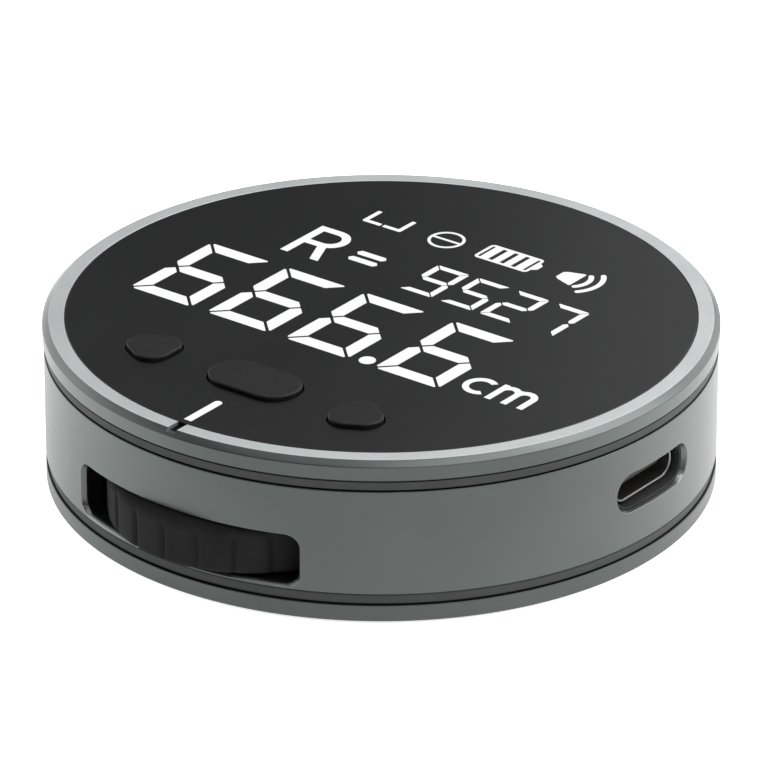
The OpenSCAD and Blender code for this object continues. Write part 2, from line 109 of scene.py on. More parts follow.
KEY_Y = -18.7
KEY_X = 11.3
KEY_GAP = 0.12
MID_CENTRES = [(sx * 2.05, KEY_Y + sy * 0.05) for sx in (-1, 1) for sy in (-1, 1)]
MID_CORNER = 2.6
SIDE_CENTRES = [(11.15, -19.6), (12.4, -18.9), (11.15, -18.1)]
SIDE_CORNER = 1.8


# ---------- mesh helpers ----------

class Shell:
    """Points and faces of one piece, in millimetres. kinds holds each face's material number."""

    def __init__(self):
        self.points = []
        self.faces = []
        self.kinds = []

    def ring(self, points):
        """Adds points and gives back their numbers."""
        first = len(self.points)
        self.points.extend(points)
        return list(range(first, len(self.points)))

    def face(self, numbers, kind=0):
        """Adds a face with its material number."""
        self.faces.append(tuple(numbers))
        self.kinds.append(kind)

    def strip(self, a, b):
        """Quads between two closed rings of equal length."""
        for i in range(len(a)):
            j = (i + 1) % len(a)
            self.face((a[i], a[j], b[j], b[i]))

    def loft(self, rings, caps=True):
        """Joins rings one after the other. With caps it closes both ends."""
        numbers = [self.ring(points) for points in rings]
        for a, b in zip(numbers, numbers[1:]):
            self.strip(a, b)
        if caps:
            self.face(numbers[0])
            self.face(numbers[-1])
        return numbers

    def tube(self, rings):
        """Joins rings one after the other, and the last to the first."""
        numbers = self.loft(rings, caps=False)
        self.strip(numbers[-1], numbers[0])

    def fill(self, loops, flat, inner=()):
        """Triangles between loops of point numbers: flat gives a point's place in the plane."""
        numbers = [n for loop in loops for n in loop] + list(inner)
        places = [Vector(flat(self.points[n], n)) for n in numbers]
        edges = []
        start = 0
        for loop in loops:
            count = len(loop)
            edges += [(start + i, start + (i + 1) % count) for i in range(count)]
            start += count
        made = delaunay_2d_cdt(places, edges, [], 0, 1e-6)
        outlines = np.array([[places[i] for i in edge] for edge in edges])
        corners = np.array([[made[0][i] for i in triangle] for triangle in made[2]])
        kept = within(corners.mean(axis=1), outlines)
        origin = [numbers[o[0]] if o else None for o in made[3]]
        for triangle, keep in zip(made[2], kept):
            if keep:
                self.face([origin[i] for i in triangle])


def within(points, edges):
    """For each point, whether a ray from it crosses an odd number of the edges."""
    x, y = points[:, 0, None], points[:, 1, None]
    ax, ay = edges[None, :, 0, 0], edges[None, :, 0, 1]
    bx, by = edges[None, :, 1, 0], edges[None, :, 1, 1]
    spans = (ay > y) != (by > y)
    rise = np.where(by == ay, 1.0, by - ay)
    crossed = spans & (x < ax + (bx - ax) * (y - ay) / rise)
    return crossed.sum(axis=1) % 2 == 1


def from_above(point, _):
    """Place of a point in a level face."""
    return point[:2]


def piece(name, shell, looks, stands_for=(), exact=None, body="housing"):
    """Makes the object: metres, merged points, outward faces and smooth normals.
    exact gives the true normals of a large curved or flat face, from its points."""
    mesh = bpy.data.meshes.new(name)
    mesh.from_pydata([[c * MM for c in p] for p in shell.points], [], shell.faces)
    mesh.polygons.foreach_set("material_index", shell.kinds)
    tidy = bmesh.new()
    tidy.from_mesh(mesh)
    bmesh.ops.remove_doubles(tidy, verts=tidy.verts, dist=MERGED)
    bmesh.ops.recalc_face_normals(tidy, faces=tidy.faces)
    tidy.to_mesh(mesh)
    tidy.free()
    for look in looks:
        mesh.materials.append(look)
    mesh.shade_smooth()
    obj = bpy.data.objects.new(name, mesh)
    bpy.context.scene.collection.objects.link(obj)
    if exact:
        set_normals(mesh, exact)
    else:
        mesh.set_sharp_from_angle(angle=math.radians(SHARP))
        weighted = obj.modifiers.new("flat faces stay flat", "WEIGHTED_NORMAL")
        weighted.keep_sharp = True
        weighted.weight = 80
    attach(obj, body)
    if stands_for:
        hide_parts(*stands_for)


def set_normals(mesh, exact):
    """Normals weighted by face area, and true ones where exact() knows them."""
    count = len(mesh.vertices)
    places = np.zeros(count * 3)
    mesh.vertices.foreach_get("co", places)
    places = places.reshape(-1, 3) / MM
    normals = np.zeros((count, 3))
    for polygon in mesh.polygons:
        normals[list(polygon.vertices)] += np.array(polygon.normal) * polygon.area
    known, true_normals = exact(places)
    normals[known] = true_normals[known]
    normals /= np.linalg.norm(normals, axis=1)[:, None]
    mesh.normals_split_custom_set_from_vertices(normals.tolist())


def wall_normals(radius, z0, z1):
    """True normals on a round wall between two heights."""
    def exact(places):
        across = np.hypot(places[:, 0], places[:, 1])
        on_wall = (abs(across - radius) < 3 * NEAR) & (places[:, 2] > z0) & (places[:, 2] < z1)
        return on_wall, places * (1, 1, 0)
    return exact


def top_normals(z):
    """True normals on a flat top face."""
    def exact(places):
        return places[:, 2] > z - NEAR, np.tile((0.0, 0.0, 1.0), (len(places), 1))
    return exact


def rounded(corners, steps=EDGE_STEPS):
    """Closed outline with each corner (x, y, radius) rounded off."""
    path = []
    for i, (x, y, radius) in enumerate(corners):
        here = np.array((x, y), float)
        if radius == 0:
            path.append((x, y))
            continue
        to_last = np.array(corners[i - 1][:2]) - here
        to_next = np.array(corners[(i + 1) % len(corners)][:2]) - here
        to_last /= np.linalg.norm(to_last)
        to_next /= np.linalg.norm(to_next)
        half = math.acos(max(-1, min(1, to_last @ to_next))) / 2
        middle = to_last + to_next
        centre = here + middle / np.linalg.norm(middle) * radius / math.sin(half)
        start = here + to_last * radius / math.tan(half) - centre
        end = here + to_next * radius / math.tan(half) - centre
        first = math.atan2(start[1], start[0])
        turn = (math.atan2(end[1], end[0]) - first + math.pi) % TAU - math.pi
        for k in range(steps + 1):
            angle = first + turn * k / steps
            path.append((centre[0] + radius * math.cos(angle), centre[1] + radius * math.sin(angle)))
    return path


def round_steps(steps=EDGE_STEPS, sweep=math.pi / 2):
    """Steps round an edge, as shares of its radius: how far in, and how far below its top."""
    turns = [sweep * k / steps for k in range(steps + 1)]
    return [(1 - math.cos(turn), 1 - math.sin(turn)) for turn in turns]


def arc(cx, cy, radius, start, end, steps=24):
    """Points on a circle from one angle to another, in degrees."""
    turns = [math.radians(start + (end - start) * k / steps) for k in range(steps + 1)]
    return [(cx + radius * math.cos(t), cy + radius * math.sin(t)) for t in turns]


def hull_ring(centres, radius, count=96):
    """Outline round some corner centres, with one point for each direction."""
    out = []
    for k in range(count):
        dx = math.cos(TAU * (k + 0.5) / count)
        dy = math.sin(TAU * (k + 0.5) / count)
        cx, cy = max(centres, key=lambda c: c[0] * dx + c[1] * dy)
        out.append((cx + radius * dx, cy + radius * dy))
    return out


def box_ring(width, height, corner, count=96):
    """Rectangle with round corners, centred on the origin."""
    a = width / 2 - corner
    b = height / 2 - corner
    return hull_ring([(a, b), (-a, b), (-a, -b), (a, -b)], corner, count)


def spaced(outline):
    """The outline with points added along its long edges, so that they can follow a round wall."""
    out = []
    for (ax, ay), (bx, by) in zip(outline, outline[1:] + outline[:1]):
        steps = LONG_EDGE_PARTS if abs(bx - ax) > LONG_EDGE else 1
        out += [(ax + (bx - ax) * k / steps, ay + (by - ay) * k / steps) for k in range(steps)]
    return out


def on_cylinder(radius, degrees, z):
    """Point on a circle about the body's axis."""
    turn = math.radians(degrees)
    return (radius * math.sin(turn), -radius * math.cos(turn), z)


def turned(profile, count=AROUND):
    """A ring about the body's axis for each (radius, height) of a profile."""
    return [[on_cylinder(r, 360 * k / count, z) for k in range(count)] for r, z in profile]


def clamped(value):
    """The value, kept between 0 and 1."""
    return max(0.0, min(1.0, value))


# ---------- material helpers ----------

def material(name):
    """A material and its node tree."""
    made = bpy.data.materials.new(name)
    made.use_nodes = True
    return made, made.node_tree


def node(tree, kind, inputs=None, **settings):
    """Adds a node, with each input linked to a socket or set to a value."""
    made = tree.nodes.new(kind)
    for key, value in settings.items():
        setattr(made, key, value)
    for key, value in (inputs or {}).items():
        if isinstance(value, bpy.types.NodeSocket):
            tree.links.new(value, made.inputs[key])
        else:
            made.inputs[key].default_value = value
    return made


def place(tree, stretch=(1, 1, 1)):
    """Place on the object in millimetres, with each axis stretched."""
    where = node(tree, "ShaderNodeTexCoord").outputs["Object"]
    scale = [s / MM for s in stretch]
    return node(tree, "ShaderNodeMapping", {"Vector": where, "Scale": scale}).outputs["Vector"]


def noise(tree, where, scale, detail=3.0, rough=0.55):
    """Noise with about scale cells per millimetre."""
    inputs = {"Vector": where, "Scale": scale, "Detail": detail, "Roughness": rough}
    return node(tree, "ShaderNodeTexNoise", inputs).outputs["Fac"]


def spread(tree, value, low, high, start=0.3, end=0.7):
    """Maps a value from start..end to low..high: two numbers or two colours."""
    if isinstance(low, (int, float)):
        inputs = {"Value": value, "From Min": start, "From Max": end, "To Min": low, "To Max": high}
        return node(tree, "ShaderNodeMapRange", inputs).outputs["Result"]
    ramp = node(tree, "ShaderNodeValToRGB", {"Fac": value})
    ramp.color_ramp.elements[0].position = start
    ramp.color_ramp.elements[0].color = (*low, 1)
    ramp.color_ramp.elements[1].position = end
    ramp.color_ramp.elements[1].color = (*high, 1)
    return ramp.outputs["Color"]


def math_node(tree, operation, a, b=0.0):
    """Result of a Math node. b is left out where the operation takes one number."""
    return node(tree, "ShaderNodeMath", {0: a, 1: b}, operation=operation).outputs["Value"]


def drive(made, **values):
    """Links or sets the sockets of a material's shader by their names, with _ for a space."""
    shader = made.node_tree.nodes["Principled BSDF"]
    for key, value in values.items():
        socket = shader.inputs[key.replace("_", " ")]
        if isinstance(value, bpy.types.NodeSocket):
            made.node_tree.links.new(value, socket)
        else:
            socket.default_value = value


def finished(made, tone, rough, height, depth, **extra):
    """The material with its tone, its roughness and relief of a depth in millimetres."""
    inputs = {"Height": height, "Distance": depth * MM, "Strength": 1.0}
    relief = node(made.node_tree, "ShaderNodeBump", inputs).outputs["Normal"]
    drive(made, Base_Color=tone, Roughness=rough, Normal=relief, **extra)
    return made


def radius_from_axis(tree, where):
    """Distance from the body's axis, in millimetres."""
    parts = node(tree, "ShaderNodeSeparateXYZ", {"Vector": where}).outputs
    squares = [math_node(tree, "MULTIPLY", parts[axis], parts[axis]) for axis in ("X", "Y")]
    return math_node(tree, "SQRT", math_node(tree, "ADD", *squares))


# ---------- materials ----------

def satin_metal(name, tone, rough=0.36, grain_depth=0.0018):
    """Bead-blasted, anodised aluminium: a fine grain with slow cloudy changes of tone."""
    made, tree = material(name)
    where = place(tree)
    grain = noise(tree, where, 7.0, 2.0)
    cloud = noise(tree, where, 0.12, 4.0)
    mixed = math_node(tree, "ADD", math_node(tree, "MULTIPLY", grain, 0.35), cloud)
    clouded = spread(tree, mixed, [c * 0.955 for c in tone], [c * 1.045 for c in tone], 0.45, 0.9)
    worn = spread(tree, grain, rough - 0.04, rough + 0.05)
    return finished(made, clouded, worn, grain, grain_depth, Metallic=1.0)


def cut_metal(name, tone, rough):
    """Bright turned aluminium: fine rings left by the cutter."""
    made, tree = material(name)
    where = place(tree)
    radius = radius_from_axis(tree, where)
    outward = node(tree, "ShaderNodeCombineXYZ", {"X": radius}).outputs["Vector"]
    rings = noise(tree, outward, 14.0, 3.0)
    cloud = noise(tree, where, 0.15, 3.0)
    clouded = spread(tree, cloud, [c * 0.95 for c in tone], [c * 1.05 for c in tone])
    worn = spread(tree, rings, rough - 0.06, rough + 0.08)
    return finished(made, clouded, worn, rings, 0.002, Metallic=1.0)


def gloss_lens():
    """Smoked acrylic: deep black, with faint smears in its polish."""
    made, tree = material("gloss_lens")
    smear = noise(tree, place(tree, (1, 0.35, 1)), 0.09, 1.0, 0.4)
    speck = noise(tree, place(tree), 2.2, 2.0)
    tone = spread(tree, smear, (0.0012, 0.0014, 0.0016), (0.0036, 0.0038, 0.0040), 0.0, 1.0)
    rough = spread(tree, smear, 0.28, 0.33, 0.0, 1.0)
    return finished(made, tone, rough, speck, 0.0002, IOR=1.49)


def glowing(name, strength, low, high):
    """Lit display ink: white light with slight unevenness from lamp to lamp."""
    made, tree = material(name)
    patch = noise(tree, place(tree), 0.35, 1.0)
    tone = spread(tree, patch, (0.08, 0.08, 0.085), (0.10, 0.10, 0.105))
    light = spread(tree, patch, low, high)
    drive(made, Base_Color=tone, Emission_Color=light, Emission_Strength=strength, Roughness=0.35)
    return made


def grained(name, low, high, rough, grain=5.0, depth=0.004, shine=0.5):
    """Moulded plastic or rubber: a fine pebble with faint patches of tone."""
    made, tree = material(name)
    where = place(tree)
    pebble = noise(tree, where, grain, 3.0, 0.6)
    tone = spread(tree, noise(tree, where, 0.3, 3.0), low, high)
    worn = spread(tree, pebble, rough - 0.05, rough + 0.05)
    return finished(made, tone, worn, pebble, depth, Specular_IOR_Level=shine)


def circuit_board():
    """Solder mask over a maze of tracks, with copper showing through as a lighter green."""
    made, tree = material("circuit_board")
    where = place(tree)
    tracks = node(tree, "ShaderNodeTexBrick", {"Vector": where, "Scale": 0.8, "Mortar Size": 0.035})
    cells = node(tree, "ShaderNodeTexVoronoi", {"Vector": where, "Scale": 0.5}).outputs["Distance"]
    pads = spread(tree, cells, 1.0, 0.0, 0.16, 0.2)
    copper = math_node(tree, "MAXIMUM", tracks.outputs["Fac"], pads)
    tone = spread(tree, copper, (0.008, 0.06, 0.025), (0.04, 0.16, 0.06), 0.2, 0.8)
    return finished(made, tone, spread(tree, noise(tree, where, 3.0), 0.3, 0.42), copper, 0.02)


def bare_metal(name, low, high, rough):
    """Turned or stamped metal with fine scratches along it."""
    made, tree = material(name)
    scratch = noise(tree, place(tree, (1, 1, 6)), 4.0, 4.0, 0.65)
    worn = spread(tree, scratch, rough - 0.08, rough + 0.1)
    return finished(made, spread(tree, scratch, low, high), worn, scratch, 0.002, Metallic=1.0)


def foil():
    """Crinkled metallised pouch of the cell."""
    made, tree = material("cell_foil")
    crease = noise(tree, place(tree), 0.7, 6.0, 0.7)
    tone = spread(tree, crease, (0.55, 0.56, 0.58), (0.68, 0.69, 0.70))
    return finished(made, tone, spread(tree, crease, 0.26, 0.4), crease, 0.08, Metallic=1.0)


def key_rubber():
    """Matt key: a grey top and near-black flanks, darker the further a face turns from upward: painted
    shade on the flanks.
    """
    made, tree = material("key_rubber")
    pebble = noise(tree, place(tree), 6.0, 3.0, 0.6)
    normal = node(tree, "ShaderNodeTexCoord").outputs["Normal"]
    upward = node(tree, "ShaderNodeSeparateXYZ", {"Vector": normal}).outputs["Z"]
    # How far the face points up, plus a little pebble: the upward part is painted light and shade, the
    # pebble is real tone.
    painted_shade_by_facing = math_node(tree, "ADD", upward, math_node(tree, "MULTIPLY", pebble, 0.06))
    tone = spread(tree, painted_shade_by_facing, (0.003, 0.003, 0.003), (0.0070, 0.0070, 0.0074), 0.45, 0.95)
    return finished(made, tone, spread(tree, pebble, 0.45, 0.55), pebble, 0.002, Specular_IOR_Level=0.3)


def rubber_pad():
    """Soft foot pad: very fine concentric ribs."""
    made, tree = material("foot_pad")
    where = place(tree)
    radius = radius_from_axis(tree, where)
    rib_pitch = 0.5
    ribs = math_node(tree, "SINE", math_node(tree, "MULTIPLY", radius, TAU / rib_pitch))
    pebble = noise(tree, where, 5.0)
    tone = spread(tree, pebble, (0.014, 0.014, 0.015), (0.022, 0.022, 0.023))
    return finished(made, tone, spread(tree, pebble, 0.62, 0.75), ribs, 0.03)


METAL_TONE = (0.118, 0.1295, 0.1255)
band_look = satin_metal("anodised_band", METAL_TONE)
bezel_look = satin_metal("anodised_bezel", METAL_TONE, rough=0.33)
# Darker, nearly unshiny copy of the anodised metal for the set-back feet and the bezel's notch: painted
# shade under the overhangs.
undercut_painted_shade_look = grained("anodised_undercut_painted_shade", (0.068, 0.074, 0.070), (0.078, 0.084, 0.080), 0.5,
                    grain=7.0, depth=0.002, shine=0.05)
# Darker copy of the band's metal in the fine groove under each step: painted shade in the crease.
groove_painted_shade_look = satin_metal("anodised_groove_painted_shade", [c * 0.6 for c in METAL_TONE], rough=0.5)
# The cover takes the band's metal at 0.88 of its tone with a coarser grain; the darker tone is painted
# shade near the floor.
cover_painted_shade_look = satin_metal("anodised_cover_painted_shade", [c * 0.88 for c in METAL_TONE], rough=0.4, grain_depth=0.003)
cut_look = cut_metal("turned_rim", (0.74, 0.765, 0.76), rough=0.5)
# Brighter metal on the lower outer bevel of the slot and the port: a painted highlight.
lip_painted_highlight_look = cut_metal("lower_lip_painted_highlight", (0.31, 0.32, 0.317), rough=0.4)
lens_look = gloss_lens()
lit_look = glowing("lit_segments", 0.95, (0.90, 0.90, 0.91), (0.95, 0.95, 0.95))
# The printed index line takes the display's emitted glow: painted light, since the line is print, not a
# lamp.
index_painted_glow_look = glowing("index_paint_painted_glow", 0.95, (0.92, 0.92, 0.93), (0.96, 0.96, 0.96))
plastic_look = grained("black_plastic", (0.011, 0.011, 0.012), (0.017, 0.017, 0.018), 0.5)
tunnel_look = grained("tunnel_plastic", (0.030, 0.030, 0.031), (0.040, 0.040, 0.041), 0.6, shine=0.3)
key_look = key_rubber()
tyre_look = grained("tyre_rubber", (0.0165, 0.0165, 0.0165), (0.023, 0.023, 0.023), 0.66,
                    grain=4.0, depth=0.005, shine=0.06)
seal_look = grained("seal_rubber", (0.009, 0.009, 0.009), (0.014, 0.014, 0.014), 0.7, shine=0.25)
strip_look = grained("notch_black", (0.0020, 0.0020, 0.0022), (0.0032, 0.0032, 0.0034), 0.7, shine=0.05)
white_look = grained("white_plastic", (0.62, 0.63, 0.62), (0.70, 0.71, 0.70), 0.45)
chip_look = grained("chip_black", (0.016, 0.016, 0.018), (0.028, 0.028, 0.030), 0.5, 8.0, 0.003)
tape_look = grained("foam_tape", (0.55, 0.47, 0.30), (0.66, 0.58, 0.40), 0.8, 3.0, 0.03)
wire_look = grained("wire_skin", (0.30, 0.012, 0.010), (0.42, 0.02, 0.016), 0.4)
board_look = circuit_board()
steel_look = bare_metal("stamped_steel", (0.50, 0.50, 0.49), (0.64, 0.64, 0.63), 0.3)
# Darker copy of the stamped steel for the socket shell deep in the port: painted shade.
socket_painted_shade_look = bare_metal("socket_steel_painted_shade", (0.20, 0.20, 0.20), (0.27, 0.27, 0.27), 0.42)
brass_look = bare_metal("turned_brass", (0.62, 0.42, 0.16), (0.76, 0.54, 0.24), 0.3)
gold_look = bare_metal("gold_contacts", (0.80, 0.55, 0.22), (0.90, 0.66, 0.30), 0.25)
foil_look = foil()
pad_look = rubber_pad()


# ---------- bezel and lens ----------

NOTCH_HALF = 0.5
NOTCH_FLOOR = TOP_Z - 0.6
NOTCH_LIP = TOP_Z - 0.3
LIP_R = BEZEL_TOP_R - 0.12
RIM_IN = LENS_R + 0.05
SHOULDER = TOP_Z - 0.5
LENS_EDGE = 0.08

# Material numbers: the second is the bezel's bright top, or the black inside of an opening. FOOT and
# GROOVE take darker copies of the metal, painted shade; LIP takes a brighter one, a painted highlight.
FACE, SECOND, FOOT, GROOVE, LIP = range(5)


def stepped_foot(radius, z):
    """Section of a foot set back from an outer face, with a fine groove under the step."""
    step = z + FOOT_H
    return [(radius - FOOT_IN, z, 0.04), (radius - FOOT_STEP, step - 1.4 * GROOVE_H, 0),
            (radius - FOOT_IN, step - GROOVE_H, 0), (radius - FOOT_IN, step, 0), (radius, step, 0.05)]


def foot_kind(a, b, radius, z):
    """Material number of a stretch of a section that has a stepped foot."""
    top = z + FOOT_H
    if max(a[1], b[1]) > top + NEAR or max(a[0], b[0]) > radius - FOOT_STEP + NEAR:
        return FACE
    if min(a[0], b[0]) < radius - FOOT_IN - NEAR:
        return FACE
    # The set-back foot and its groove get the darker materials: painted shade.
    return GROOVE if max(a[1], b[1]) > top - 1.3 * GROOVE_H else FOOT


def bezel_profile(notched):
    """Section of the bezel: sloping foot, outer face, shoulder, flat top and lens ledge."""
    lip_r = BEZEL_R - (NOTCH_LIP - SHOULDER) * (BEZEL_R - BEZEL_TOP_R) / (TOP_Z - SHOULDER)
    foot = [(LEDGE_R, BEZEL_Z, 0)] + stepped_foot(BEZEL_R, BEZEL_Z) + [(BEZEL_R, SHOULDER, 0.14)]
    ledge = [(RIM_IN, LENS_Z, 0), (LEDGE_R, LENS_Z, 0)]
    if notched:
        top = [(lip_r, NOTCH_LIP, 0.04), (LIP_R, NOTCH_LIP, 0), (LIP_R, NOTCH_FLOOR, 0),
               (RIM_IN, NOTCH_FLOOR, 0.05)]
    else:
        top = [(BEZEL_TOP_R, TOP_Z, 0.04), (LIP_R, TOP_Z, 0), (LIP_R - 0.02, TOP_Z, 0),
               (RIM_IN, TOP_Z, 0.06)]
    return rounded(foot + top + ledge)


def notch_point(x, r, z):
    """Point at the front of a circle, given by its distance from the notch's middle plane."""
    return (x, -math.sqrt(r * r - x * x), z)


def bezel_ring():
    """Ring with a channel cut across its top at the index line."""
    shell = Shell()
    plain = bezel_profile(False)
    cut = bezel_profile(True)
    notch_columns = 3
    columns = [[notch_point(x, r, z) for r, z in cut] for x in (-NOTCH_HALF, 0, NOTCH_HALF)]
    columns.append([notch_point(NOTCH_HALF, r, z) for r, z in plain])
    columns += [[on_cylinder(r, a, z) for r, z in plain] for a in range(2, 359)]
    columns.append([notch_point(-NOTCH_HALF, r, z) for r, z in plain])
    numbers = [shell.ring(column) for column in columns]
    for i, column in enumerate(numbers):
        other = numbers[(i + 1) % len(numbers)]
        for k in range(len(plain)):
            n = (k + 1) % len(plain)
            kind = foot_kind(plain[k], plain[n], BEZEL_R, BEZEL_Z)
            # Top faces take the bright turned top, except in the notch's columns, which take the darker
            # undercut material: painted shade in the channel.
            if min(plain[k][1], plain[n][1]) > TOP_Z - 0.03:
                kind = FOOT if i < notch_columns else SECOND
            shell.face((column[k], column[n], other[n], other[k]), kind)
    looks = [bezel_look, cut_look, undercut_painted_shade_look, groove_painted_shade_look]
    piece("bezel_rim", shell, looks, ["bezel_ring"])


def notch_insert():
    """Black strip that carries the index line across the bezel."""
    shell = Shell()
    half = NOTCH_HALF - 0.01
    inner = LENS_R + 0.06
    outer = LIP_R - 0.01
    soft = 0.04
    rings = []
    for z, inset in ((NOTCH_FLOOR, 0.0), (NOTCH_LIP - soft, 0.0), (NOTCH_LIP, soft)):
        x, near, far = half - inset, inner + inset, outer - inset
        rings.append([notch_point(*corner, z) for corner in ((-x, near), (x, near), (x, far), (-x, far))])
    shell.loft(rings)
    piece("notch_strip", shell, [strip_look], ["notch_insert"])


def key_outlines():
    """Corner centres, corner radius and stem place of each key, seen from above."""
    left = [(-x, y) for x, y in SIDE_CENTRES]
    return {
        "left": (left, SIDE_CORNER, -KEY_X),
        "middle": (MID_CENTRES, MID_CORNER, 0.0),
        "right": (SIDE_CENTRES, SIDE_CORNER, KEY_X),
    }


def lens_panel():
    """Disc with a soft rim and three key holes with soft edges."""
    shell = Shell()

    def stack(outline, sign):
        """Rings from the top face, over a rounded edge, to the bottom face."""
        levels = [(-sign * LENS_EDGE * inset, TOP_Z - LENS_EDGE * drop) for drop, inset in round_steps()]
        levels.append((0, LENS_Z))
        return shell.loft([[(x, y, z) for x, y in outline(grow)] for grow, z in levels], caps=False)

    stacks = [stack(lambda grow: hull_ring([(0, 0)], LENS_R + grow, AROUND), 1)]
    for centres, corner, _ in key_outlines().values():
        stacks.append(stack(lambda grow: hull_ring(centres, corner + KEY_GAP + grow), -1))
    for level in (0, -1):
        shell.fill([s[level] for s in stacks], from_above)
    piece("lens_disc", shell, [lens_look], ["lens_panel"], top_normals(TOP_Z))


# ---------- display ----------

DIGIT = (7.15, 12.05, 1.42)  # width, height, thickness of a segment
DIGIT_Y = -9.85
DIGIT_X = (-21.65, -12.65, -3.55, 6.65)
DOT_X = 5.3
SMALL = (3.65, 6.05, 0.64)
SMALL_Y = 5.05
SMALL_X = (-1.75, 2.9, 7.4, 11.98)
SIX = "acdefg"
SIDE_READING = ("abcdfg", "acdfg", "abdeg", "abc")
ICON_Y = 16.15
INK_T = 0.03


def segment(name, w, h, t):
    """Outline of one segment of a seven-segment digit, with soft outer corners."""
    m = t * 0.15
    soft = t * 0.04
    blunt = t * 0.08
    level = h / 2
    half = t / 2
    side = [(0, h - m, blunt), (t, h - t - m, soft), (t, level + half + m, soft),
            (half, level + m, soft), (0, level + half + m, soft)]
    bar = [(m, h, blunt), (w - m, h, blunt), (w - t - m, h - t, soft), (t + m, h - t, soft)]
    middle = [(half + m, level, soft), (t + m, level + half, soft), (w - t - m, level + half, soft),
              (w - half - m, level, soft), (w - t - m, level - half, soft), (t + m, level - half, soft)]
    corners = {"a": bar, "d": bar, "g": middle}.get(name, side)
    if name in "bc":
        corners = [(w - x, y, r) for x, y, r in corners]
    if name in "cde":
        corners = [(x, h - y, r) for x, y, r in corners]
    return rounded(corners)


def ink(shell, *loops):
    """One raised patch of ink: an outline and any holes in it."""
    layers = []
    for z in (INK_TOP - INK_T, INK_TOP):
        layers.append([shell.ring([(x, y, z) for x, y in loop]) for loop in loops])
        shell.fill(layers[-1], from_above)
    for low, high in zip(*layers):
        shell.strip(low, high)


def lit_piece(name, shell, node_name):
    """A piece of lit ink that stands for a CAD node."""
    piece(name, shell, [lit_look], [node_name])


def moved(loop, dx, dy, mirror=1):
    """The loop moved, and with mirror=-1 first turned left to right."""
    return [(mirror * x + dx, y + dy) for x, y in loop]


def digit(shell, lit, size, x, y):
    """The lit segments of one figure, with its lower left corner at x, y."""
    for name in lit:
        ink(shell, moved(segment(name, *size), x, y))


def main_digits():
    shell = Shell()
    for x in DIGIT_X:
        digit(shell, SIX, DIGIT, x, DIGIT_Y)
    dot = DIGIT[2] * 0.55
    ink(shell, arc(DOT_X, DIGIT_Y + dot, dot, 0, 352, 44))
    lit_piece("large_reading", shell, "main_digits")


def side_digits():
    shell = Shell()
    for lit, x in zip(SIDE_READING, SMALL_X):
        digit(shell, lit, SMALL, x, SMALL_Y)
    lit_piece("small_reading", shell, "side_digits")


def letter_r(shell, x, y, h, t):
    """Capital R: stem, round bowl and slanted leg in one outline."""
    bowl = 0.3 * h
    cx = t + 0.24 * h
    cy = h - bowl
    under = h - 2 * bowl
    leg_x = t + 0.235 * h
    foot_x = 0.68 * h
    wide = 1.12 * t
    outer = [(0, 0), (t, 0), (t, under), (leg_x, under), (foot_x - wide, 0), (foot_x, 0)]
    outer += arc(cx, cy, bowl, -64, 90) + [(0, h)]
    hole = [(t, under + t)] + arc(cx, cy, bowl - t, -90, 90) + [(t, h - t)]
    ink(shell, moved(outer, x, y), moved(hole, x, y))


def letter_c(shell, x, y, r, t):
    """Small c: an open ring."""
    ink(shell, moved(arc(0, 0, r, 50, 310, 40) + arc(0, 0, r - t, 306, 54, 40), x, y))


def letter_m(shell, x, y, w, h, t):
    """Small m: three stems under two arches."""
    pitch = (w - t) / 2
    out = (pitch + t) / 2
    top = h - out
    outer = [(0, 0), (0, h), (t * 0.85, h), (t * 0.95, h - t * 0.42)]
    outer += arc(out, top, out, 118, 52, 12)
    outer += arc(pitch + out, top, out, 122, 0, 24) + [(w, 0), (w - t, 0)]
    outer += arc(pitch + out, top, out - t, 0, 180, 24) + [(pitch + t, 0), (pitch, 0)]
    outer += arc(out, top, out - t, 0, 180, 24) + [(t, 0)]
    ink(shell, moved(outer, x, y))


def equals_sign(shell, x, y, w, t, pitch):
    """Two bars with blunt pointed ends."""
    cut = t * 0.38
    soft = 0.12
    bar = [(-w / 2, 0), (-w / 2 + cut, -t / 2), (w / 2 - cut, -t / 2),
           (w / 2, 0), (w / 2 - cut, t / 2), (-w / 2 + cut, t / 2)]
    for side in (-1, 1):
        ink(shell, moved(rounded([(*corner, soft) for corner in bar]), x, y + side * pitch / 2))


def unit_letters():
    shell = Shell()
    letter_r(shell, x=-15.7, y=SMALL_Y, h=6.5, t=0.85)
    equals_sign(shell, x=-7.9, y=8.25, w=3.35, t=0.82, pitch=1.4)
    letter_c(shell, x=16.6, y=-7.2, r=1.65, t=0.62)
    letter_m(shell, x=18.2, y=-8.85, w=4.2, h=3.3, t=0.66)
    lit_piece("unit_marks", shell, "unit_letters")


def brackets(shell, x, y):
    """Pair of corner brackets for the measuring mode."""
    start, end, h, t = 0.14, 2.24, 2.65, 0.46
    corner = [(start, 0, 0.1), (end, 0, 0.2), (end, h, 0.1), (end - t, h, 0.1),
              (end - t, t, 0.05), (start, t, 0.1)]
    for side in (-1, 1):
        ink(shell, moved(rounded(corner), x, y, side))


def barred_ring(shell, x, y, r, t):
    """Ring with a bar across it: an outline with two half-moon holes."""
    tilt = math.degrees(math.asin(t / 2 / (r - t)))
    upper = arc(x, y, r - t, tilt, 180 - tilt, 32)
    lower = arc(x, y, r - t, 180 + tilt, 360 - tilt, 32)
    ink(shell, arc(x, y, r, 0, 354, 59), upper, lower)


